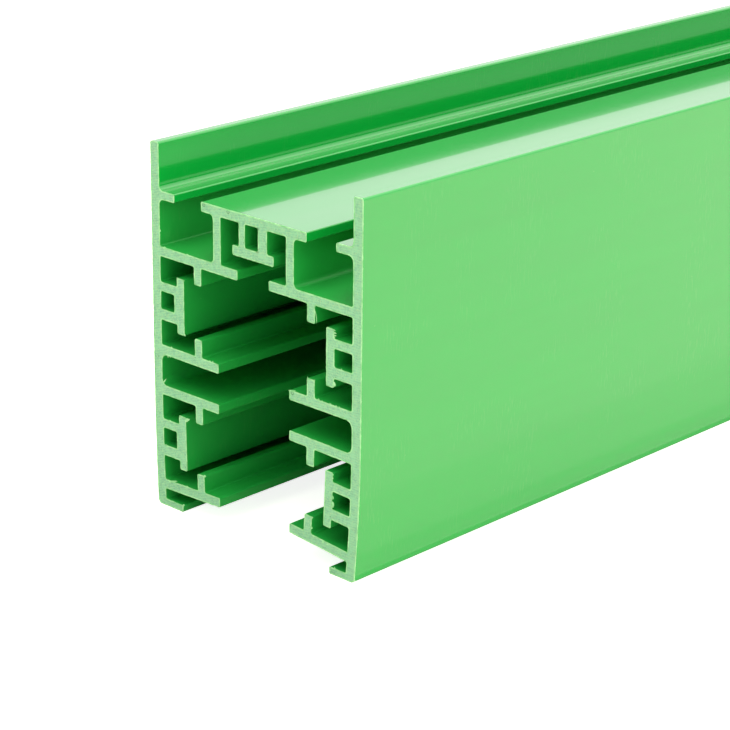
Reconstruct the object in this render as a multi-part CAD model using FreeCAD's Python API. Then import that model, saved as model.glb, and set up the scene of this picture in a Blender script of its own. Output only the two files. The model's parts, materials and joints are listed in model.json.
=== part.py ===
import FreeCAD, Part
import math
import os

# Housing profile of an enclosed conductor rail, one sawn length of extruded rigid PVC.
# Millimetres. +X is the width, +Y runs along the extrusion, +Z is up. The origin lies on the
# floor under the middle of the length, between the two feet.
#
# Each side wall carries, from the foot up, a lip, four shelves and a top flange. Between the
# shelves stand the conductor holders: a T on two arms that close a small hollow cell. The two
# sides meet only at the top plate, which stands on two webs and has a hollow rib under it.

# Stock
length = 1000.0
width = 56.0
wall = 2.3
wall_above_plate = 9.2

# Foot and its clip groove
lip_thickness = 1.45
lip_reach = 5.5
foot_groove = 2.15

# Shelves, with the tabs that keep a conductor behind them
shelf = 1.95
channel_width = 19.2
top_gap = 8.4
middle_groove = 6.4
tab_thickness = 1.95
tab_depth = 3.55
tab_behind_edge = 4.6

# Conductor slots and their holders
slot_height = 17.95
holder_height = 11.3
holder_plate = 1.95
holder_stand_off = 6.6
lower_arm = 2.2
cell_height = 3.6
upper_arm = 1.85
cell_floor_left = 0.8
cell_floor_right = 0.1

# Hanger groove, flange and top plate
hanger_groove = 9.4
flange_thickness = 1.7
flange_reach = 4.25
plate_thickness = 1.9
plate_width = 27.9
web_thickness = 2.0
webs_apart = 17.4

# Hollow rib under the plate
rib_depth = 4.6
rib_stem_left = 1.6
rib_cell_width = 3.5
rib_stem_right = 2.35
rib_flange_width = 10.9
rib_flange = 1.95

# The walls lean in from just above the third shelf down, as they shrank in cooling
bend_above_shelf = 3.2
bend_radius_right = 312.0
bend_radius_left = 740.0

# Rounding of the corners
tip_radius = 0.3
root_radius = 0.4
wall_top_radius = 0.5
foot_radius = 1.0
flange_root_top = 1.0
flange_root_under = 1.2
web_root = 1.0
groove_root_upper = 1.6
groove_root_lower = 1.4
sharp_angle = 10.0
most_of_edge = 0.48
same_corner = 0.5
near = 0.01

# Levels, from the floor up
lip_top = lip_thickness
shelf_4 = lip_top + foot_groove
lower_slot = shelf_4 + shelf
shelf_3 = lower_slot + slot_height
groove_floor = shelf_3 + shelf
shelf_2 = groove_floor + middle_groove
upper_slot = shelf_2 + shelf
shelf_1 = upper_slot + slot_height
hanger_floor = shelf_1 + shelf
plate_underside = hanger_floor + hanger_groove
plate_top = plate_underside + plate_thickness
wall_top = plate_top + wall_above_plate
bend_start = groove_floor + bend_above_shelf

# Places across the right half, from the middle plane out
outer_face = width / 2
inner_face = outer_face - wall
into_wall = outer_face - wall / 2
shelf_edge = channel_width / 2
holder_back = inner_face - holder_stand_off + holder_plate
web_inner = webs_apart / 2
web_outer = web_inner + web_thickness


def plate(x_low, x_high, z_low, z_high):
    """Face of a straight member, a rectangle in the plane of the section."""
    corners = [(x_low, z_low), (x_high, z_low), (x_high, z_high), (x_low, z_high), (x_low, z_low)]
    return Part.Face(Part.makePolygon([FreeCAD.Vector(x, 0, z) for x, z in corners]))


def on_bend(face, height, bend_radius):
    """Carry a member from its height on a straight wall to its place on the leaning one."""
    centre = FreeCAD.Vector(outer_face - bend_radius, 0, bend_start)
    face.translate(FreeCAD.Vector(0, 0, bend_start - height))
    face.rotate(centre, FreeCAD.Vector(0, 1, 0), math.degrees((bend_start - height) / bend_radius))
    return face


def leaning_wall(bend_radius):
    """Lower part of a wall, a ring sector trimmed level at the floor."""
    centre = FreeCAD.Vector(outer_face - bend_radius, 0, bend_start)
    past_floor = (bend_start + wall) / bend_radius

    def arc(radius):
        points = [centre + FreeCAD.Vector(radius * math.cos(turn), 0, -radius * math.sin(turn))
                  for turn in (0, past_floor / 2, past_floor)]
        return Part.Arc(*points).toShape()

    outer = arc(bend_radius)
    inner = arc(bend_radius - wall)
    top = Part.makeLine(outer.firstVertex().Point, inner.firstVertex().Point)
    foot = Part.makeLine(outer.lastVertex().Point, inner.lastVertex().Point)
    sector = Part.Face(Part.Wire(Part.sortEdges([outer, foot, inner, top])[0]))
    return sector.common(plate(0, width, 0, bend_start))


def foot_lean(bend_radius):
    """How far the foot of a leaning wall stands in from the outer face."""
    return bend_radius * (1 - math.cos(bend_start / bend_radius))


def holder(slot_floor, cell_floor):
    """A T on two arms that reach into the wall, and the height of its middle."""
    middle = slot_floor + slot_height / 2
    arms_low = middle - (lower_arm + cell_height + upper_arm) / 2
    arms_high = arms_low + lower_arm + cell_height + upper_arm
    flange = plate(holder_back - holder_plate, holder_back,
                   middle - holder_height / 2, middle + holder_height / 2)
    block = plate(holder_back, into_wall, arms_low, arms_high)
    cell = plate(holder_back + cell_floor, into_wall,
                 arms_low + lower_arm, arms_high - upper_arm)
    return flange.fuse(block).cut(cell), middle


def shelf_with_tab(underside, tab_up):
    """One long shelf from the wall to the channel, its tab on the upper or the lower side."""
    tab_inner = shelf_edge + tab_behind_edge
    board = plate(shelf_edge, into_wall, underside, underside + shelf)
    if tab_up:
        tab_low, tab_high = underside + shelf / 2, underside + shelf + tab_depth
    else:
        tab_low, tab_high = underside - tab_depth, underside + shelf / 2
    return board.fuse(plate(tab_inner, tab_inner + tab_thickness, tab_low, tab_high))


def half_section(bend_radius, cell_floor):
    """Faces of the right half, without the rib; the leaning shelves end flush at the channel."""
    upper_holder, _ = holder(upper_slot, cell_floor)
    lower_holder, lower_middle = holder(lower_slot, cell_floor)
    channel = plate(0, shelf_edge, 0, shelf_1)
    return [
        plate(inner_face, outer_face, bend_start, wall_top),
        leaning_wall(bend_radius),
        plate(inner_face - lip_reach, into_wall - foot_lean(bend_radius), 0, lip_top),
        on_bend(shelf_with_tab(shelf_4, tab_up=True), shelf_4, bend_radius).cut(channel),
        on_bend(lower_holder, lower_middle, bend_radius),
        on_bend(shelf_with_tab(shelf_3, tab_up=False), shelf_3, bend_radius).cut(channel),
        shelf_with_tab(shelf_2, tab_up=True),
        upper_holder,
        shelf_with_tab(shelf_1, tab_up=False),
        plate(top_gap / 2, shelf_edge + shelf, shelf_1, hanger_floor),
        plate(web_inner, web_outer, shelf_1 + shelf / 2, plate_underside + plate_thickness / 2),
        plate(0, plate_width / 2, plate_underside, plate_top),
        plate(inner_face - flange_reach, into_wall,
              plate_underside, plate_underside + flange_thickness),
    ]


def rib():
    """Two stems under the plate that hold a small flange, with a closed cell between them."""
    flange_top = plate_underside - rib_depth
    cell_left = -rib_cell_width / 2 - (rib_stem_right - rib_stem_left) / 2
    cell_right = cell_left + rib_cell_width
    return [
        plate(cell_left - rib_stem_left, cell_left, flange_top, plate_underside),
        plate(cell_right, cell_right + rib_stem_right, flange_top, plate_underside),
        plate(-rib_flange_width / 2, rib_flange_width / 2, flange_top - rib_flange, flange_top),
    ]


def sharp_section():
    """End face of both sides, the plate and the rib, fused, with every corner still sharp."""
    right = half_section(bend_radius_right, cell_floor_right)
    left = [face.mirror(FreeCAD.Vector(0, 0, 0), FreeCAD.Vector(1, 0, 0))
            for face in half_section(bend_radius_left, cell_floor_left)]
    slices = [face.extrude(FreeCAD.Vector(0, 1, 0)) for face in right + left + rib()]
    fused = slices[0].multiFuse(slices[1:]).removeSplitter()
    return min(fused.Faces, key=lambda face: face.CenterOfMass.y)


def corner_radius(corner, is_root):
    """Radius of a corner of the section, its own or that of its kind."""
    own_radii = [
        (inner_face, plate_underside + flange_thickness, flange_root_top),
        (inner_face, plate_underside, flange_root_under),
        (web_outer, plate_underside, web_root),
        (web_outer, hanger_floor, web_root),
        (inner_face, shelf_2, groove_root_upper),
        (inner_face, groove_floor, groove_root_lower),
        (outer_face - foot_lean(bend_radius_right), 0, foot_radius),
        (outer_face - foot_lean(bend_radius_left), 0, foot_radius),
        (inner_face, wall_top, wall_top_radius),
        (outer_face, wall_top, wall_top_radius),
    ]
    for x, z, radius in own_radii:
        if math.hypot(abs(corner.x) - x, corner.z - z) < same_corner:
            return radius
    return root_radius if is_root else tip_radius


def starts_at(edge, corner):
    """Whether an edge begins, rather than ends, at a corner."""
    return edge.valueAt(edge.FirstParameter).distanceToPoint(corner) < near


def direction_away(edge, corner):
    """Unit direction in which an edge leaves a corner."""
    if starts_at(edge, corner):
        return edge.tangentAt(edge.FirstParameter)
    return -edge.tangentAt(edge.LastParameter)


def parameter_at(edge, corner, reach):
    """Parameter of the point that lies a distance along an edge from a corner."""
    return edge.getParameterByLength(reach if starts_at(edge, corner) else edge.Length - reach)


def rounding(face, corner, before, after):
    """Arc over the corner between two edges and how far it reaches along them."""
    back = direction_away(before, corner)
    ahead = direction_away(after, corner)
    half_turn = (math.pi - back.getAngle(ahead)) / 2
    if half_turn < math.radians(sharp_angle / 2):
        return None, 0
    inward = (back + ahead).normalize()
    is_root = not face.isInside(corner + inward * near, near / 10, True)
    room = most_of_edge * min(before.Length, after.Length)
    reach = min(corner_radius(corner, is_root) * math.tan(half_turn), room)
    radius = reach / math.tan(half_turn)
    ends = [edge.valueAt(parameter_at(edge, corner, reach)) for edge in (before, after)]
    top = corner + inward * (radius / math.cos(half_turn) - radius)
    return Part.Arc(ends[0], top, ends[1]).toShape(), reach


def rounded_wire(face, wire):
    """A loop of the section with an arc over each sharp corner."""
    edges = wire.OrderedEdges
    corners = [vertex.Point for vertex in wire.OrderedVertexes]
    roundings = [rounding(face, corner, edges[index - 1], edges[index])
                 for index, corner in enumerate(corners)]
    pieces = [arc for arc, _ in roundings if arc]
    for index, edge in enumerate(edges):
        following = (index + 1) % len(edges)
        limits = sorted([parameter_at(edge, corners[index], roundings[index][1]),
                         parameter_at(edge, corners[following], roundings[following][1])])
        pieces.append(edge.Curve.toShape(*limits))
    return Part.Wire(Part.sortEdges(pieces)[0])


def housing_profile():
    """One length of the profile, its middle over the origin."""
    sharp = sharp_section()
    loops = [rounded_wire(sharp, wire) for wire in sharp.Wires]
    section = Part.makeFace(loops, "Part::FaceMakerBullseye")
    section.translate(FreeCAD.Vector(0, -length / 2, 0))
    return section.extrude(FreeCAD.Vector(0, length, 0))


os.makedirs("parts", exist_ok=True)
profile = housing_profile()
profile.exportStep("parts/housing_profile.step")
print("section area", round(profile.Volume / length, 1), "mm2")
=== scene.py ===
"""Studio scene of a conductor rail housing, extruded in green rigid PVC and sawn to length."""
import json
import logging
import math
from collections.abc import Callable
from dataclasses import dataclass
from enum import Enum
from typing import Any

import bmesh
import bpy
from mathutils import Matrix, Vector

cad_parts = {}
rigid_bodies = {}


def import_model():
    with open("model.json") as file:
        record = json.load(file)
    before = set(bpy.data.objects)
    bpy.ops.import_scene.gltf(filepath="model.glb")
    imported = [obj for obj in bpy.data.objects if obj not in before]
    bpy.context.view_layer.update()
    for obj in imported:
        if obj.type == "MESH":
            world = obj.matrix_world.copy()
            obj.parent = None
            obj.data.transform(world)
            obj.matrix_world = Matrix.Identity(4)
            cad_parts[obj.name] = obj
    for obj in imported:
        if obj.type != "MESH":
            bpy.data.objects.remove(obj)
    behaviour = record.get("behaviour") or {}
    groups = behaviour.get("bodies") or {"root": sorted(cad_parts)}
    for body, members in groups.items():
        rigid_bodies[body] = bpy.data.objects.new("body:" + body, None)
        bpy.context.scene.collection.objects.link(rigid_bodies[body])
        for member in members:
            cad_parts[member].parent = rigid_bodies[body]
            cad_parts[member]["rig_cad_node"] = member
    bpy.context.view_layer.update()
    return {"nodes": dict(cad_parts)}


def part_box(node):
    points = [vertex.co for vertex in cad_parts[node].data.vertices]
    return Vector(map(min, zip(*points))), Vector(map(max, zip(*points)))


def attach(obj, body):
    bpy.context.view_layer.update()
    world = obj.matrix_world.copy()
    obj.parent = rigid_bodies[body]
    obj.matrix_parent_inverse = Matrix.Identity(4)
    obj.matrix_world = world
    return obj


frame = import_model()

MM = 0.001
HOUSING = "housing_profile"
BODY = "root"
PVC_IOR = 1.53
# The rings of Blender's wave node repeat every 0.314 of its scale.
WAVE_RING = 0.314

log = logging.getLogger("housing")


class SawnEnd(Enum):
    """The two sawn ends, each with the way it faces along the extrusion."""

    NEAR = -1.0
    FAR = 1.0


class MeshPart(Enum):
    """What can be picked from a mesh, each with Blender's name of its select mode."""

    VERTS = "VERT"
    EDGES = "EDGE"
    FACES = "FACE"


@dataclass(frozen=True)
class Fade:
    """Levels of a noise between which a mark fades in."""

    start: float
    full: float


def linear(hex_colour: str) -> tuple[float, float, float, float]:
    """Turn an sRGB hex colour into linear RGBA, with the numbers of the sRGB curve.

    Args:
        hex_colour: Colour as "#RRGGBB".

    Returns:
        Linear red, green, blue and an alpha of 1.
    """
    shares = [int(hex_colour[start:start + 2], 16) / 255 for start in (1, 3, 5)]
    red, green, blue = [
        share / 12.92 if share <= 0.04045 else ((share + 0.055) / 1.055) ** 2.4
        for share in shares
    ]
    return red, green, blue, 1.0


def add_node(
    tree: bpy.types.NodeTree,
    kind: str,
    inputs: dict[str | int, Any] | None = None,
    output: str | int = 0,
    **settings: Any,
) -> bpy.types.NodeSocket | None:
    """Add a node with its settings, and set or link its inputs.

    Args:
        tree: Node tree that takes the node.
        kind: Blender's name of the node type.
        inputs: For each input, by name or number, a value or the output that feeds it.
        output: Output to give back, by name or number.
        **settings: Properties of the node itself.

    Returns:
        The chosen output, or None where the node has none.
    """
    node = tree.nodes.new(kind)
    for name, value in settings.items():
        setattr(node, name, value)
    for name, value in (inputs or {}).items():
        if isinstance(value, bpy.types.NodeSocket):
            tree.links.new(value, node.inputs[name])
        else:
            node.inputs[name].default_value = value
    return node.outputs[output] if node.outputs else None


def new_material(name: str) -> tuple[bpy.types.Material, bpy.types.NodeTree]:
    """Make a material with an empty node tree.

    Args:
        name: Name of the material.

    Returns:
        The material and its node tree.
    """
    material = bpy.data.materials.new(name)
    material.use_nodes = True
    material.node_tree.nodes.clear()
    return material, material.node_tree


def select_only(piece: bpy.types.Object) -> None:
    """Select one object and make it the active one.

    Args:
        piece: Object to select.
    """
    bpy.ops.object.select_all(action="DESELECT")
    piece.select_set(True)
    bpy.context.view_layer.objects.active = piece


def pick(
    piece: bpy.types.Object, part: MeshPart, wanted: Callable[[Any], bool]
) -> int:
    """Select the vertices, edges or faces of a mesh in edit mode that pass a test.

    Args:
        piece: Object in edit mode.
        part: Which of the three.
        wanted: Test that each element is put to.

    Returns:
        How many were selected.
    """
    bpy.ops.mesh.select_mode(type=part.value)
    bpy.ops.mesh.select_all(action="DESELECT")
    mesh = bmesh.from_edit_mesh(piece.data)
    found = [element for element in getattr(mesh, part.name.lower()) if wanted(element)]
    for element in found:
        element.select_set(True)
    bmesh.update_edit_mesh(piece.data)
    return len(found)


def finish_piece(piece: bpy.types.Object, name: str, material: bpy.types.Material) -> None:
    """Name and dress a new piece, and let it move with the housing.

    Args:
        piece: The finished mesh object.
        name: Name of the piece.
        material: Its one material.
    """
    piece.name = name
    piece.data.name = name
    piece.data.materials.clear()
    piece.data.materials.append(material)
    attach(piece, BODY)


def report(piece: bpy.types.Object) -> None:
    """Log the name of a piece and how many faces it has."""
    log.info("%s: %d faces", piece.name, len(piece.data.polygons))


@dataclass(frozen=True)
class SinkLine:
    """A line along the outer wall where an inner member draws it in, its sizes in millimetres."""

    height: float
    width: float
    loss: float


@dataclass(frozen=True)
class GlossStep:
    """A change of gloss from one height on the outer wall to another, in millimetres."""

    upper: float
    lower: float
    loss: float


@dataclass(frozen=True)
class SkinMarks:
    """The marks on the skin that its colour, gloss and relief share."""

    streaks: bpy.types.NodeSocket
    lines: bpy.types.NodeSocket
    sinks: bpy.types.NodeSocket
    inside: bpy.types.NodeSocket
    scuffs: bpy.types.NodeSocket
    specks: bpy.types.NodeSocket


@dataclass(frozen=True)
class DieSkin:
    """Glossy skin that a polished die leaves on rigid PVC coloured in the mass.

    It mirrors sharply, through a slight haze, and less so inside, where no calibrator touched
    it. Faint lines run the whole length, where the die is worn, and two thin dull lines show
    where a holder and the lowest shelf draw the outer wall in. The leaning foot is duller, and
    handling adds faint short scuffs and a few specks of sawdust.
    """

    green: str = "#0A9E38"
    green_light: str = "#10A63D"
    dust: str = "#7FC07A"
    haze: float = 0.14
    streak: float = 6.0 * MM
    streak_run: float = 60.0 * MM
    streak_loss: float = 0.16
    line: float = 1.3 * MM
    line_run: float = 400.0 * MM
    line_depth: float = 0.0015
    sink_lines: tuple[SinkLine, ...] = (
        SinkLine(42.9, 0.32, 0.3),
        SinkLine(4.35, 0.9, 0.16),
    )
    gloss_steps: tuple[GlossStep, ...] = (
        GlossStep(18.5, 15.2, 0.15),
        GlossStep(6.4, 4.9, 0.17),
    )
    wall_reach: float = 1.2 * MM
    inner_top: float = 63.0 * MM
    inner_loss: float = 0.85
    inner_haze: float = 0.4
    scuff_length: float = 2.2 * MM
    scuff_gap: float = 0.4 * MM
    scuff_fade: Fade = Fade(0.56, 0.7)
    scuff_patch: float = 14.0 * MM
    patch_fade: Fade = Fade(0.48, 0.66)
    scuff_depth: float = 0.0003
    scuff_dust: float = 0.06
    scuff_haze: float = 0.06
    noise_detail: float = 1.0
    speck_spacing: float = 7.0 * MM
    speck_radius: float = 0.13 * MM
    speck_dust: float = 0.5

    def marks(
        self, tree: bpy.types.NodeTree, place: bpy.types.NodeSocket, outer_face: float
    ) -> SkinMarks:
        """Add the marks on the skin.

        Args:
            tree: Node tree of the material.
            place: Object coordinates.
            outer_face: Distance of the outer walls from the middle plane.

        Returns:
            The marks, each from 0 to 1.
        """
        across = add_node(tree, "ShaderNodeSeparateXYZ", {0: place}, output="X")
        level = add_node(tree, "ShaderNodeSeparateXYZ", {0: place}, output="Z")
        side = add_node(tree, "ShaderNodeMath", {0: across}, operation="ABSOLUTE")
        outside = add_node(
            tree, "ShaderNodeMath", {0: side, 1: outer_face - self.wall_reach},
            operation="GREATER_THAN",
        )
        streaks = self.drawn(tree, place, self.streak, self.streak_run)
        return SkinMarks(
            streaks=streaks,
            lines=self.drawn(tree, place, self.line, self.line_run),
            sinks=self.sinks(tree, level, streaks, outside),
            inside=self.inside(tree, level, outside),
            scuffs=self.scuffs(tree, place),
            specks=self.specks(tree, place),
        )

    def colour(self, tree: bpy.types.NodeTree, marks: SkinMarks) -> bpy.types.NodeSocket:
        """Add the colour of the skin.

        Args:
            tree: Node tree of the material.
            marks: Marks on the skin.

        Returns:
            The colour.
        """
        green = add_node(
            tree, "ShaderNodeMix",
            {"Factor": marks.streaks, "A": linear(self.green), "B": linear(self.green_light)},
            output="Result", data_type="RGBA",
        )
        specks = add_node(
            tree, "ShaderNodeMath", {0: marks.specks, 1: self.speck_dust}, operation="MULTIPLY"
        )
        dusty = add_node(
            tree, "ShaderNodeMath", {0: marks.scuffs, 1: self.scuff_dust, 2: specks},
            operation="MULTIPLY_ADD",
        )
        return add_node(
            tree, "ShaderNodeMix", {"Factor": dusty, "A": green, "B": linear(self.dust)},
            output="Result", data_type="RGBA",
        )

    def gloss(self, tree: bpy.types.NodeTree, marks: SkinMarks) -> bpy.types.NodeSocket:
        """Add the share of the full gloss that the skin has, less on its marks and inside.

        Args:
            tree: Node tree of the material.
            marks: Marks on the skin.

        Returns:
            The gloss.
        """
        streaked = add_node(
            tree, "ShaderNodeMath", {0: marks.streaks, 1: -self.streak_loss, 2: 1.0},
            operation="MULTIPLY_ADD",
        )
        sunk = add_node(
            tree, "ShaderNodeMath", {0: streaked, 1: marks.sinks}, operation="SUBTRACT"
        )
        return add_node(
            tree, "ShaderNodeMath", {0: marks.inside, 1: -self.inner_loss, 2: sunk},
            operation="MULTIPLY_ADD",
        )

    def height(self, tree: bpy.types.NodeTree, marks: SkinMarks) -> bpy.types.NodeSocket:
        """Add the relief of the skin.

        Args:
            tree: Node tree of the material.
            marks: Marks on the skin.

        Returns:
            The height, in millimetres.
        """
        lined = add_node(
            tree, "ShaderNodeMath", {0: marks.lines, 1: self.line_depth}, operation="MULTIPLY"
        )
        return add_node(
            tree, "ShaderNodeMath", {0: marks.scuffs, 1: -self.scuff_depth, 2: lined},
            operation="MULTIPLY_ADD",
        )

    def roughness(self, tree: bpy.types.NodeTree, marks: SkinMarks) -> bpy.types.NodeSocket:
        """Add the haze, stronger inside the housing and a little where the skin is scuffed.

        Args:
            tree: Node tree of the material.
            marks: Marks on the skin.

        Returns:
            The roughness.
        """
        scuffed = add_node(
            tree, "ShaderNodeMath", {0: marks.scuffs, 1: self.scuff_haze, 2: self.haze},
            operation="MULTIPLY_ADD",
        )
        return add_node(
            tree, "ShaderNodeMath", {0: marks.inside, 1: self.inner_haze, 2: scuffed},
            operation="MULTIPLY_ADD",
        )

    def drawn(
        self, tree: bpy.types.NodeTree, place: bpy.types.NodeSocket, width: float, run: float
    ) -> bpy.types.NodeSocket:
        """Add a noise drawn out along the extrusion.

        Args:
            tree: Node tree of the material.
            place: Object coordinates.
            width: Distance from mark to mark across the extrusion.
            run: Distance from mark to mark along it.

        Returns:
            The noise, from 0 to 1.
        """
        stretched = add_node(
            tree, "ShaderNodeMapping",
            {"Vector": place, "Scale": (1 / width, 1 / run, 1 / width)},
        )
        return add_node(
            tree, "ShaderNodeTexNoise",
            {"Vector": stretched, "Scale": 1.0, "Detail": self.noise_detail},
        )

    def sinks(
        self,
        tree: bpy.types.NodeTree,
        level: bpy.types.NodeSocket,
        streaks: bpy.types.NodeSocket,
        outside: bpy.types.NodeSocket,
    ) -> bpy.types.NodeSocket:
        """Add the gloss that the outer walls lose on sunk lines and towards the foot.

        Args:
            tree: Node tree of the material.
            level: Height above the floor.
            streaks: Noise that breaks up the lines.
            outside: 1 on the outer walls and 0 elsewhere.

        Returns:
            The share of the gloss that is lost.
        """
        lost: bpy.types.NodeSocket | float = 0.0
        for line in self.sink_lines:
            off = add_node(
                tree, "ShaderNodeMath", {0: level, 1: line.height * MM}, operation="SUBTRACT"
            )
            away = add_node(tree, "ShaderNodeMath", {0: off}, operation="ABSOLUTE")
            depth = add_node(
                tree, "ShaderNodeMapRange",
                {"Value": away, "From Min": line.width * MM, "From Max": 0.0, "To Max": line.loss},
            )
            lost = add_node(tree, "ShaderNodeMath", {0: lost, 1: depth}, operation="ADD")
        lost = add_node(tree, "ShaderNodeMath", {0: lost, 1: streaks}, operation="MULTIPLY")
        for step in self.gloss_steps:
            dulled = add_node(
                tree, "ShaderNodeMapRange",
                {"Value": level, "From Min": step.upper * MM, "From Max": step.lower * MM,
                 "To Max": step.loss},
                interpolation_type="SMOOTHSTEP",
            )
            lost = add_node(tree, "ShaderNodeMath", {0: lost, 1: dulled}, operation="ADD")
        return add_node(tree, "ShaderNodeMath", {0: lost, 1: outside}, operation="MULTIPLY")

    def inside(
        self,
        tree: bpy.types.NodeTree,
        level: bpy.types.NodeSocket,
        outside: bpy.types.NodeSocket,
    ) -> bpy.types.NodeSocket:
        """Find the skin inside the housing, which no calibrator touched.

        Args:
            tree: Node tree of the material.
            level: Height above the floor.
            outside: 1 on the outer walls and 0 elsewhere.

        Returns:
            1 below the top plate, between the walls, and 0 elsewhere.
        """
        below = add_node(
            tree, "ShaderNodeMath", {0: level, 1: self.inner_top}, operation="LESS_THAN"
        )
        return add_node(
            tree, "ShaderNodeMath", {0: below, 1: outside}, operation="SUBTRACT", use_clamp=True
        )

    def scuffs(
        self, tree: bpy.types.NodeTree, place: bpy.types.NodeSocket
    ) -> bpy.types.NodeSocket:
        """Add short scuffs across the extrusion, in patches.

        Args:
            tree: Node tree of the material.
            place: Object coordinates.

        Returns:
            1 in a scuff and 0 elsewhere.
        """
        crossed = add_node(
            tree, "ShaderNodeMapping",
            {"Vector": place,
             "Scale": (1 / self.scuff_length, 1 / self.scuff_gap, 1 / self.scuff_length)},
        )
        marks = add_node(
            tree, "ShaderNodeTexNoise",
            {"Vector": crossed, "Scale": 1.0, "Detail": self.noise_detail},
        )
        patches = add_node(
            tree, "ShaderNodeTexNoise",
            {"Vector": place, "Scale": 1 / self.scuff_patch, "Detail": self.noise_detail},
        )
        clear = add_node(
            tree, "ShaderNodeMapRange",
            {"Value": marks, "From Min": self.scuff_fade.start, "From Max": self.scuff_fade.full},
        )
        handled = add_node(
            tree, "ShaderNodeMapRange",
            {"Value": patches, "From Min": self.patch_fade.start, "From Max": self.patch_fade.full},
        )
        return add_node(tree, "ShaderNodeMath", {0: clear, 1: handled}, operation="MULTIPLY")

    def specks(
        self, tree: bpy.types.NodeTree, place: bpy.types.NodeSocket
    ) -> bpy.types.NodeSocket:
        """Add a few specks of sawdust.

        Args:
            tree: Node tree of the material.
            place: Object coordinates.

        Returns:
            1 in a speck and 0 elsewhere.
        """
        distance = add_node(
            tree, "ShaderNodeTexVoronoi", {"Vector": place, "Scale": 1 / self.speck_spacing},
            output="Distance",
        )
        rim = self.speck_radius / self.speck_spacing
        return add_node(
            tree, "ShaderNodeMapRange", {"Value": distance, "From Min": rim, "From Max": 0.0}
        )


@dataclass(frozen=True)
class CutMarks:
    """The marks on a sawn face that its colour and relief share."""

    grains: bpy.types.NodeSocket
    teeth: bpy.types.NodeSocket
    voids: bpy.types.NodeSocket


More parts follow.
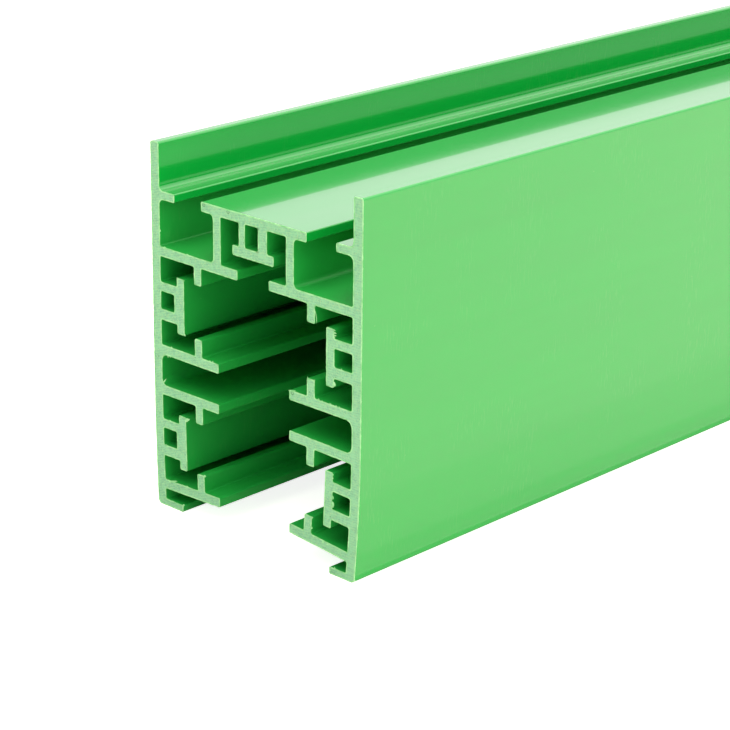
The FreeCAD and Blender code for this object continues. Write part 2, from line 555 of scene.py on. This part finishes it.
@dataclass(frozen=True)
class SawnFace:
    """Matt face that a circular saw leaves across rigid PVC.

    Each torn grain scatters white light, so the cut is paler than the skin. It has a grey and
    yellow mottle, the arcs of the teeth, and small gas voids that the saw opened. A darker green
    is painted into the voids as painted shade in the pits.
    """

    pale: str = "#93D3A6"
    grey: str = "#76B490"
    yellow: str = "#A9D4A0"
    # Darker green painted into the voids and bubble rings, as painted shade in the pits
    void: str = "#3E8A48"
    roughness: float = 0.8
    mottle: float = 0.9 * MM
    mottle_detail: float = 3.0
    grain: float = 0.28 * MM
    grain_detail: float = 2.0
    grain_depth: float = 0.02
    harshness: float = 0.7
    grey_fade: Fade = Fade(0.48, 0.86)
    yellow_fade: Fade = Fade(0.5, 0.7)
    tooth_step: float = 0.5 * MM
    tooth_depth: float = 0.01
    tooth_grey: float = 0.15
    tooth_waver: float = 3.0
    tooth_detail: float = 1.0
    blade_axis: tuple[float, float, float] = (30.0 * MM, 0.0, -130.0 * MM)
    void_spacing: float = 2.6 * MM
    void_radius: float = 0.2 * MM
    void_depth: float = 0.08
    # Across and up, in millimetres
    bubbles: tuple[tuple[float, float], ...] = ((-13.2, 64.5), (-6.6, 64.5), (10.35, 33.3))
    bubble_radius: float = 0.3 * MM
    bubble_wall: float = 0.12 * MM

    def marks(self, tree: bpy.types.NodeTree, place: bpy.types.NodeSocket) -> CutMarks:
        """Add the marks on the cut.

        Args:
            tree: Node tree of the material.
            place: Object coordinates.

        Returns:
            The marks, each from 0 to 1.
        """
        return CutMarks(
            grains=add_node(
                tree, "ShaderNodeTexNoise",
                {"Vector": place, "Scale": 1 / self.grain, "Detail": self.grain_detail,
                 "Roughness": self.harshness},
            ),
            teeth=self.teeth(tree, place),
            voids=self.voids(tree, place),
        )

    def colour(
        self, tree: bpy.types.NodeTree, place: bpy.types.NodeSocket, marks: CutMarks
    ) -> bpy.types.NodeSocket:
        """Add the colour of the cut.

        Args:
            tree: Node tree of the material.
            place: Object coordinates.
            marks: Marks on the cut.

        Returns:
            The colour.
        """
        mottle = add_node(
            tree, "ShaderNodeTexNoise",
            {"Vector": place, "Scale": 1 / self.mottle, "Detail": self.mottle_detail,
             "Roughness": self.harshness},
        )
        brushed = add_node(
            tree, "ShaderNodeMath", {0: marks.teeth, 1: self.tooth_grey, 2: mottle},
            operation="MULTIPLY_ADD",
        )
        greyness = add_node(
            tree, "ShaderNodeMapRange",
            {"Value": brushed, "From Min": self.grey_fade.start, "From Max": self.grey_fade.full},
        )
        yellowness = add_node(
            tree, "ShaderNodeMapRange",
            {"Value": marks.grains, "From Min": self.yellow_fade.start,
             "From Max": self.yellow_fade.full},
        )
        # The voids are mixed to a darker green: painted shade in the pits and bubble rings
        layers = ((greyness, self.grey), (yellowness, self.yellow), (marks.voids, self.void))
        colour: Any = linear(self.pale)
        for share, layer in layers:
            colour = add_node(
                tree, "ShaderNodeMix", {"Factor": share, "A": colour, "B": linear(layer)},
                output="Result", data_type="RGBA",
            )
        return colour

    def height(self, tree: bpy.types.NodeTree, marks: CutMarks) -> bpy.types.NodeSocket:
        """Add the relief of the cut.

        Args:
            tree: Node tree of the material.
            marks: Marks on the cut.

        Returns:
            The height, in millimetres.
        """
        cut = add_node(
            tree, "ShaderNodeMath", {0: marks.teeth, 1: self.tooth_depth}, operation="MULTIPLY"
        )
        torn = add_node(
            tree, "ShaderNodeMath", {0: marks.grains, 1: self.grain_depth, 2: cut},
            operation="MULTIPLY_ADD",
        )
        return add_node(
            tree, "ShaderNodeMath", {0: marks.voids, 1: -self.void_depth, 2: torn},
            operation="MULTIPLY_ADD",
        )

    def teeth(
        self, tree: bpy.types.NodeTree, place: bpy.types.NodeSocket
    ) -> bpy.types.NodeSocket:
        """Add the arcs that the saw's teeth leave, drawn coarser than real so that they show.

        Args:
            tree: Node tree of the material.
            place: Object coordinates.

        Returns:
            The arcs, from 0 to 1.
        """
        from_axis = add_node(
            tree, "ShaderNodeVectorMath", {0: place, 1: self.blade_axis}, operation="SUBTRACT"
        )
        return add_node(
            tree, "ShaderNodeTexWave",
            {"Vector": from_axis, "Scale": WAVE_RING / self.tooth_step,
             "Distortion": self.tooth_waver, "Detail": self.tooth_detail},
            output="Fac", wave_type="RINGS", rings_direction="Y",
        )

    def voids(
        self, tree: bpy.types.NodeTree, place: bpy.types.NodeSocket
    ) -> bpy.types.NodeSocket:
        """Add the gas voids, small pits everywhere and a few cut bubbles with a ring of wall.

        Args:
            tree: Node tree of the material.
            place: Object coordinates.

        Returns:
            1 in the middle of a void and 0 outside.
        """
        distance = add_node(
            tree, "ShaderNodeTexVoronoi", {"Vector": place, "Scale": 1 / self.void_spacing},
            output="Distance",
        )
        rim = self.void_radius / self.void_spacing
        total = add_node(
            tree, "ShaderNodeMapRange", {"Value": distance, "From Min": rim, "From Max": 0.0}
        )
        in_section = add_node(
            tree, "ShaderNodeVectorMath", {0: place, 1: (1.0, 0.0, 1.0)}, operation="MULTIPLY"
        )
        for x, z in self.bubbles:
            away = add_node(
                tree, "ShaderNodeVectorMath", {0: in_section, 1: (x * MM, 0.0, z * MM)},
                output="Value", operation="DISTANCE",
            )
            off = add_node(
                tree, "ShaderNodeMath", {0: away, 1: self.bubble_radius}, operation="SUBTRACT"
            )
            from_ring = add_node(tree, "ShaderNodeMath", {0: off}, operation="ABSOLUTE")
            ring = add_node(
                tree, "ShaderNodeMapRange",
                {"Value": from_ring, "From Min": self.bubble_wall, "From Max": 0.0},
            )
            total = add_node(tree, "ShaderNodeMath", {0: total, 1: ring}, operation="MAXIMUM")
        return total


@dataclass(frozen=True)
class ExtrudedPvc:
    """Rigid PVC profile stock: extruded, calibrated and cooled, then sawn to length.

    The eye sees a deep and glossy green along it, and a pale and matt one at its ends.
    """

    name: str = "rigid_pvc_extruded"
    skin: DieSkin = DieSkin()
    cut: SawnFace = SawnFace()
    ior: float = PVC_IOR
    gloss_roughness: float = 0.04
    haze_level: float = 0.65
    cut_reach: float = 0.02 * MM

    def material(self, half_length: float, outer_face: float) -> bpy.types.Material:
        """Build the material, with the skin on the sides and the saw's face on both ends.

        Args:
            half_length: Half of the housing's length.
            outer_face: Distance of the outer walls from the middle plane.

        Returns:
            The material.
        """
        material, tree = new_material(self.name)
        place = add_node(tree, "ShaderNodeTexCoord", output="Object")
        along = add_node(tree, "ShaderNodeSeparateXYZ", {0: place}, output="Y")
        depth = add_node(tree, "ShaderNodeMath", {0: along}, operation="ABSOLUTE")
        is_cut = add_node(
            tree, "ShaderNodeMath", {0: depth, 1: half_length - self.cut_reach},
            operation="GREATER_THAN",
        )
        skin_marks = self.skin.marks(tree, place, outer_face)
        cut_marks = self.cut.marks(tree, place)
        colour = add_node(
            tree, "ShaderNodeMix",
            {"Factor": is_cut, "A": self.skin.colour(tree, skin_marks),
             "B": self.cut.colour(tree, place, cut_marks)},
            output="Result", data_type="RGBA",
        )
        roughness = add_node(
            tree, "ShaderNodeMix",
            {"Factor": is_cut, "A": self.skin.roughness(tree, skin_marks),
             "B": self.cut.roughness},
        )
        gloss = add_node(
            tree, "ShaderNodeMix",
            {"Factor": is_cut, "A": self.skin.gloss(tree, skin_marks), "B": 0.0},
        )
        height = add_node(
            tree, "ShaderNodeMix",
            {"Factor": is_cut, "A": self.skin.height(tree, skin_marks),
             "B": self.cut.height(tree, cut_marks)},
        )
        relief = add_node(tree, "ShaderNodeBump", {"Height": height, "Distance": MM})
        shader = add_node(
            tree, "ShaderNodeBsdfPrincipled",
            {
                "Base Color": colour,
                "Roughness": roughness,
                "IOR": self.ior,
                "Specular IOR Level": self.haze_level,
                "Coat Weight": gloss,
                "Coat Roughness": self.gloss_roughness,
                "Coat IOR": self.ior,
                "Normal": relief,
            },
        )
        add_node(tree, "ShaderNodeOutputMaterial", {0: shader})
        return material


@dataclass(frozen=True)
class TornPvc:
    """The same PVC, drawn out by the saw's teeth into thin burrs.

    The eye sees a pale satin where it was stretched, and more of its green where it is thick.
    """

    name: str = "rigid_pvc_torn"
    pale: str = "#AEE8AC"
    green: str = "#84D089"
    ior: float = PVC_IOR
    roughness: float = 0.45
    patch: float = 1.2 * MM
    patch_detail: float = 2.0
    thick_fade: Fade = Fade(0.4, 0.65)

    def material(self) -> bpy.types.Material:
        """Build the material, with greener patches where a burr is thicker.

        Returns:
            The material.
        """
        material, tree = new_material(self.name)
        place = add_node(tree, "ShaderNodeTexCoord", output="Object")
        patches = add_node(
            tree, "ShaderNodeTexNoise",
            {"Vector": place, "Scale": 1 / self.patch, "Detail": self.patch_detail},
        )
        thick = add_node(
            tree, "ShaderNodeMapRange",
            {"Value": patches, "From Min": self.thick_fade.start, "From Max": self.thick_fade.full},
        )
        colour = add_node(
            tree, "ShaderNodeMix",
            {"Factor": thick, "A": linear(self.pale), "B": linear(self.green)},
            output="Result", data_type="RGBA",
        )
        shader = add_node(
            tree, "ShaderNodeBsdfPrincipled",
            {"Base Color": colour, "Roughness": self.roughness, "IOR": self.ior},
        )
        add_node(tree, "ShaderNodeOutputMaterial", {0: shader})
        return material


@dataclass
class Housing:
    """The extruded housing itself, one node of the frame."""

    finish: ExtrudedPvc = ExtrudedPvc()

    def dress(self) -> bpy.types.Object:
        """Give the housing its finish.

        Returns:
            The housing's object, unmoved.
        """
        piece = frame["nodes"][HOUSING]
        _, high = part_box(HOUSING)
        material = self.finish.material(half_length=high[1], outer_face=high[0])
        for slot in piece.material_slots:
            slot.material = material
        return piece


@dataclass
class SawnRim:
    """The fine burr that the saw leaves all along the edges of a sawn end."""

    end: SawnEnd
    width: float = 0.24 * MM
    proud: float = 0.05 * MM
    sunk: float = 0.02 * MM
    crown: float = 0.07 * MM
    crown_rise: float = 0.5
    longest_edge: float = 0.6 * MM
    raggedness: float = 0.045 * MM
    seed: int = 7
    smooth_below: float = 60.0
    merged_below: float = 0.001 * MM
    face_depth: float = 0.01 * MM

    def build(self, housing: bpy.types.Object, material: bpy.types.Material) -> bpy.types.Object:
        """Model the rim from a merged copy of the sawn face.

        Args:
            housing: The housing's object, which stays as it is.
            material: Material of torn PVC.

        Returns:
            The rim.
        """
        select_only(housing)
        bpy.ops.object.duplicate()
        rim = bpy.context.view_layer.objects.active
        # The copy is a new piece and no CAD node.
        del rim["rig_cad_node"]
        bpy.ops.object.mode_set(mode="EDIT")
        bpy.ops.mesh.select_all(action="SELECT")
        bpy.ops.mesh.remove_doubles(threshold=self.merged_below)
        self.keep_sawn_face(rim)
        self.shorten_edges(rim)
        bpy.ops.mesh.select_all(action="SELECT")
        bpy.ops.mesh.inset(thickness=self.width, use_boundary=True, use_even_offset=True)
        bpy.ops.mesh.delete(type="FACE")
        bpy.ops.mesh.select_all(action="SELECT")
        bpy.ops.transform.vertex_random(
            offset=self.raggedness, uniform=0.0, normal=0.0, seed=self.seed + int(self.end.value)
        )
        bpy.ops.transform.translate(value=(0, -self.end.value * self.sunk, 0))
        bpy.ops.mesh.duplicate()
        bpy.ops.mesh.extrude_region_move(
            TRANSFORM_OT_translate={"value": (0, self.end.value * (self.proud + self.sunk), 0)}
        )
        bpy.ops.mesh.inset(
            thickness=self.crown, depth=self.crown * self.crown_rise, use_even_offset=False
        )
        bpy.ops.mesh.select_all(action="SELECT")
        bpy.ops.mesh.remove_doubles(threshold=self.merged_below)
        bpy.ops.mesh.normals_make_consistent(inside=False)
        bpy.ops.object.mode_set(mode="OBJECT")
        bpy.ops.object.shade_smooth_by_angle(angle=math.radians(self.smooth_below))
        finish_piece(rim, f"saw_rim_{self.end.name.lower()}", material)
        return rim

    def keep_sawn_face(self, rim: bpy.types.Object) -> None:
        """Delete all but the faces of the sawn end.

        Args:
            rim: Copy of the housing, in edit mode.
        """
        _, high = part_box(HOUSING)
        behind_face = high[1] - self.face_depth
        pick(
            rim, MeshPart.FACES,
            lambda face: face.calc_center_median().y * self.end.value < behind_face,
        )
        bpy.ops.mesh.delete(type="FACE")

    def shorten_edges(self, rim: bpy.types.Object) -> None:
        """Divide the long edges of the outline, so that the burr can be ragged along them.

        Args:
            rim: The sawn face, in edit mode.
        """
        while pick(
            rim, MeshPart.EDGES,
            lambda edge: edge.is_boundary and edge.calc_length() > self.longest_edge,
        ):
            bpy.ops.mesh.subdivide(number_cuts=1)


@dataclass(frozen=True)
class Burr:
    """One splinter at the edge of a sawn face.

    Its foot's place and its sizes are in millimetres, and its lean from level is in degrees.
    """

    x: float
    z: float
    lean: float
    length: float
    breadth: float


@dataclass
class SawBurrs:
    """Splinters and beads that the saw left at the edges of one sawn end."""

    end: SawnEnd
    burrs: tuple[Burr, ...]
    sides: int = 6
    thickness_share: float = 0.45
    curl_share: float = 0.15
    sunk_share: float = 0.15
    sharpest_tip: float = 0.12
    raggedness: float = 0.2
    rounding_levels: int = 1

    def build(self, material: bpy.types.Material) -> bpy.types.Object:
        """Model every burr and join them into one piece.

        Args:
            material: Material of torn PVC.

        Returns:
            The joined piece.
        """
        splinters = [self.splinter(burr, seed) for seed, burr in enumerate(self.burrs)]
        bpy.ops.object.select_all(action="DESELECT")
        for splinter in splinters:
            splinter.select_set(True)
        bpy.context.view_layer.objects.active = splinters[0]
        bpy.ops.object.join()
        joined = bpy.context.view_layer.objects.active
        bpy.ops.object.shade_smooth()
        finish_piece(joined, f"saw_burrs_{self.end.name.lower()}", material)
        return joined

    def splinter(self, burr: Burr, seed: int) -> bpy.types.Object:
        """Model one burr as a flat, ragged and slightly curled tooth.

        Args:
            burr: Its place and size.
            seed: Seed of its raggedness.

        Returns:
            The burr, its place in its mesh.
        """
        _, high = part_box(HOUSING)
        face = self.end.value * high[1]
        length = burr.length * MM
        radius = burr.breadth * MM / 2
        lean = math.radians(burr.lean)
        along = Vector((math.cos(lean), 0, math.sin(lean)))
        foot = Vector((burr.x * MM, face, burr.z * MM))
        bluntness = max(self.sharpest_tip, 1 - burr.length / burr.breadth)
        bpy.ops.object.select_all(action="DESELECT")
        bpy.ops.mesh.primitive_cone_add(
            vertices=self.sides, radius1=radius, radius2=radius * bluntness, depth=length,
            location=foot + along * length * (0.5 - self.sunk_share),
            rotation=along.to_track_quat("Z", "Y").to_euler(),
        )
        splinter = bpy.context.view_layer.objects.active
        bpy.ops.object.transform_apply(location=True, rotation=True, scale=True)
        bpy.ops.object.mode_set(mode="EDIT")
        bpy.ops.mesh.select_all(action="SELECT")
        bpy.ops.mesh.subdivide(number_cuts=1, fractal=self.raggedness, seed=seed)
        bpy.ops.transform.resize(value=(1, self.thickness_share, 1), center_override=foot)
        pick(splinter, MeshPart.VERTS, lambda vertex: (vertex.co - foot).dot(along) > length / 2)
        curl = self.end.value * length * self.curl_share
        bpy.ops.transform.translate(value=(0, curl, 0))
        bpy.ops.object.mode_set(mode="OBJECT")
        rounding = splinter.modifiers.new("rounding", "SUBSURF")
        rounding.levels = rounding.render_levels = self.rounding_levels
        bpy.ops.object.modifier_apply(modifier=rounding.name)
        return splinter


NEAR_BURRS = (
    # Sliver that hangs beside the right tab of the first shelf
    Burr(16.35, 50.2, -72, 2.3, 0.24),
    Burr(16.1, 50.7, -50, 0.6, 0.4),
    # Barbs behind the upper right conductor holder, and a fin at its foot
    Burr(21.0, 48.25, -10, 0.5, 0.5),
    Burr(21.0, 47.75, 4, 1.0, 0.5),
    Burr(21.0, 47.2, 14, 0.95, 0.5),
    Burr(21.0, 46.95, -15, 0.45, 0.4),
    Burr(20.95, 37.95, -18, 0.8, 1.3),
    Burr(23.0, 41.05, 100, 0.45, 0.4),
    # Curled film at the tip of the second right shelf, points on its tab and beads along it
    Burr(10.2, 33.7, 18, 1.7, 0.4),
    Burr(9.65, 33.5, 125, 0.4, 0.45),
    Burr(14.4, 37.25, 100, 0.45, 0.4),
    Burr(16.05, 37.2, 55, 0.5, 0.4),
    Burr(17.2, 33.7, 80, 0.45, 0.8),
    Burr(18.1, 33.7, 60, 0.35, 0.6),
    Burr(20.2, 33.7, 85, 0.35, 0.8),
    Burr(21.7, 33.7, 85, 0.35, 0.6),
    Burr(22.5, 33.7, 95, 0.4, 0.5),
    # Third and fourth right shelves with their tabs, the lower holder and the foot
    Burr(9.85, 25.45, 110, 0.4, 0.6),
    Burr(10.9, 25.45, 80, 0.35, 0.7),
    Burr(20.85, 20.0, 35, 0.6, 0.6),
    Burr(20.85, 19.45, 0, 0.35, 0.6),
    Burr(20.9, 15.6, 10, 0.45, 1.0),
    Burr(20.85, 14.15, 0, 0.55, 1.6),
    Burr(15.55, 9.9, 20, 0.55, 0.6),
    Burr(15.5, 7.8, 0, 0.35, 0.6),
    Burr(18.5, 5.75, 80, 0.35, 0.7),
    Burr(19.7, 5.65, 80, 0.35, 0.6),
    Burr(21.7, 1.4, 120, 0.45, 0.6),
    Burr(26.6, 0.7, 10, 0.5, 0.8),
    # Left wall, first and second shelves and upper holder
    Burr(-25.7, 56.8, 0, 0.35, 0.7),
    Burr(-24.3, 53.6, 80, 0.35, 0.9),
    Burr(-17.9, 53.6, 80, 0.3, 0.9),
    Burr(-20.9, 48.25, 110, 0.35, 0.45),
    Burr(-19.15, 48.2, 35, 0.5, 0.45),
    Burr(-19.15, 37.35, -20, 0.5, 0.7),
    Burr(-22.9, 33.7, 75, 0.45, 0.6),
    Burr(-24.0, 31.85, -75, 0.5, 0.45),
    Burr(-23.3, 31.9, -80, 0.35, 0.4),
    Burr(-11.2, 33.7, 80, 0.55, 0.5),
    Burr(-12.0, 33.7, 95, 0.35, 0.5),
    # Flakes in the left guide groove, on the lower holder, the fourth shelf and the lip
    Burr(-25.4, 26.05, 45, 2.0, 0.42),
    Burr(-19.1, 19.8, 24, 1.85, 1.2),
    Burr(-23.7, 18.25, 85, 0.45, 0.7),
    Burr(-24.9, 12.7, 70, 0.55, 0.9),
    Burr(-14.0, 9.55, 12, 0.85, 0.75),
    Burr(-23.9, 5.45, 21, 3.3, 0.6),
    Burr(-18.9, 5.7, 80, 0.4, 0.9),
    Burr(-20.3, 5.65, 80, 0.35, 0.6),
    Burr(-20.45, 1.25, 38, 1.2, 0.75),
)
FAR_BURRS = (
    Burr(-20.95, 46.9, 170, 0.7, 0.45),
    Burr(-14.25, 50.2, -95, 1.1, 0.36),
    Burr(12.1, 33.7, 88, 0.45, 0.6),
    Burr(13.9, 64.9, 60, 0.5, 0.45),
    Burr(-25.7, 58.0, 5, 0.45, 0.6),
    Burr(19.1, 20.0, 150, 0.8, 0.6),
    Burr(22.4, 5.6, 95, 0.4, 0.7),
)


@dataclass(frozen=True)
class WhiteBoard:
    """Matt painted board, which gives the eye a plain pale floor with no mirror image in it.

    Its glow is for the camera alone: it overexposes the floor and lights nothing.
    """

    name: str = "matt_white_board"
    colour: str = "#F4F2E6"
    roughness: float = 0.9
    glow: str = "#FFFFFF"
    overexposure: float = 0.85

    def material(self) -> bpy.types.Material:
        """Build the material.

        Returns:
            The material.
        """
        material, tree = new_material(self.name)
        seen = add_node(tree, "ShaderNodeLightPath", output="Is Camera Ray")
        strength = add_node(
            tree, "ShaderNodeMath", {0: seen, 1: self.overexposure}, operation="MULTIPLY"
        )
        shader = add_node(
            tree, "ShaderNodeBsdfPrincipled",
            {"Base Color": linear(self.colour), "Roughness": self.roughness,
             "Emission Color": linear(self.glow), "Emission Strength": strength},
        )
        add_node(tree, "ShaderNodeOutputMaterial", {0: shader})
        return material


@dataclass(frozen=True)
class Softbox:
    """Soft white light, brightest in its own direction, and the narrower the higher its focus."""

    direction: tuple[float, float, float]
    strength: float
    focus: float
    colour: str = "#FFFFFF"


@dataclass(frozen=True)
class Studio:
    """A pale floor in soft white light from all round.

    The camera sees the floor and the backdrop overexposed, as in a product photograph.
    """

    floor_size: float = 60.0
    floor: WhiteBoard = WhiteBoard()
    backdrop: float = 2.0
    softboxes: tuple[Softbox, ...] = (
        # Wide ones above, right, left and behind
        Softbox((0.0, 0.0, 1.0), 1.2, 2, "#FFFFF2"),
        Softbox((1.0, 0.0, 0.0), 1.05, 2),
        Softbox((-1.0, 0.0, 0.0), 0.45, 2),
        Softbox((0.0, 1.0, 0.0), 0.55, 2),
        # Narrower ones on the right wall, in the mirror of the top plate and on the near end
        Softbox((1.0, -0.1, 0.1), 0.6, 8),
        Softbox((-0.66, 0.69, 0.3), 0.58, 12),
        Softbox((0.3, -0.9, 0.2), 0.12, 6),
        # Slightly warm ones high on the right, high behind and overhead
        Softbox((0.7, 0.0, 0.7), 1.2, 6, "#FFFFF2"),
        Softbox((0.0, 0.7, 0.7), 0.8, 6, "#FFFFF2"),
        Softbox((0.05, -0.25, 0.97), 2.2, 12, "#FFFFF2"),
        Softbox((0.25, -0.1, 0.95), 0.5, 16, "#FFFFF2"),
    )

    def build(self) -> None:
        """Lay the floor, light it and keep the colours as they are."""
        self.lay_floor()
        self.light()
        bpy.context.scene.view_settings.view_transform = "Standard"
        bpy.context.scene.view_settings.look = "None"

    def lay_floor(self) -> None:
        """Lay a white board under the housing, wide enough for every view."""
        bpy.ops.object.select_all(action="DESELECT")
        bpy.ops.mesh.primitive_plane_add(size=self.floor_size, location=(0, 0, 0))
        floor = bpy.context.view_layer.objects.active
        floor.name = "floor"
        floor.data.materials.append(self.floor.material())

    def light(self) -> None:
        """Light the studio from its softboxes, and show the camera a plain white backdrop."""
        world = bpy.data.worlds.new("white_studio")
        world.use_nodes = True
        tree = world.node_tree
        tree.nodes.clear()
        towards = add_node(tree, "ShaderNodeTexCoord", output="Generated")
        total: bpy.types.NodeSocket | tuple[float, float, float] = (0.0, 0.0, 0.0)
        for softbox in self.softboxes:
            facing = add_node(
                tree, "ShaderNodeVectorMath",
                {0: towards, 1: Vector(softbox.direction).normalized()},
                output="Value", operation="DOT_PRODUCT",
            )
            lit = add_node(tree, "ShaderNodeMath", {0: facing, 1: 0.0}, operation="MAXIMUM")
            fall = add_node(tree, "ShaderNodeMath", {0: lit, 1: softbox.focus}, operation="POWER")
            power = Vector(linear(softbox.colour)[:3]) * softbox.strength
            total = add_node(
                tree, "ShaderNodeVectorMath", {0: fall, 1: power, 2: total},
                operation="MULTIPLY_ADD",
            )
        seen = add_node(tree, "ShaderNodeLightPath", output="Is Camera Ray")
        colour = add_node(
            tree, "ShaderNodeMix",
            {"Factor": seen, "A": total, "B": (self.backdrop, self.backdrop, self.backdrop, 1.0)},
            output="Result", data_type="RGBA",
        )
        background = add_node(tree, "ShaderNodeBackground", {"Color": colour, "Strength": 1.0})
        add_node(tree, "ShaderNodeOutputWorld", {0: background})
        bpy.context.scene.world = world


@dataclass(frozen=True)
class StudioCamera:
    """The camera, close to the near end and a little above it, its angles in degrees."""

    location: tuple[float, float, float] = (0.31142, -0.79685, 0.19195)
    azimuth: float = 43.594
    elevation: float = 19.899
    roll: float = 0.661
    lens_mm: float = 120.54
    sensor_mm: float = 36.0
    nearest: float = 0.01
    farthest: float = 200.0

    def build(self) -> None:
        """Place the camera and make it the scene's own."""
        data = bpy.data.cameras.new("camera")
        data.sensor_fit = "HORIZONTAL"
        data.sensor_width = self.sensor_mm
        data.lens = self.lens_mm
        data.clip_start = self.nearest
        data.clip_end = self.farthest
        camera = bpy.data.objects.new("camera", data)
        bpy.context.scene.collection.objects.link(camera)
        turn = Matrix.Rotation(math.radians(self.azimuth), 4, "Z")
        tilt = Matrix.Rotation(math.radians(90 - self.elevation), 4, "X")
        roll = Matrix.Rotation(math.radians(self.roll), 4, "Z")
        camera.matrix_world = Matrix.Translation(self.location) @ turn @ tilt @ roll
        bpy.context.scene.camera = camera


def main() -> None:
    """Build and report the pieces in order, then the studio and camera."""
    logging.basicConfig(level=logging.INFO, format="%(name)s: %(message)s")
    housing = Housing().dress()
    report(housing)
    torn = TornPvc().material()
    for end in SawnEnd:
        report(SawnRim(end).build(housing, torn))
    for end, burrs in ((SawnEnd.NEAR, NEAR_BURRS), (SawnEnd.FAR, FAR_BURRS)):
        report(SawBurrs(end, burrs).build(torn))
    Studio().build()
    StudioCamera().build()


if __name__ == "__main__":
    main()
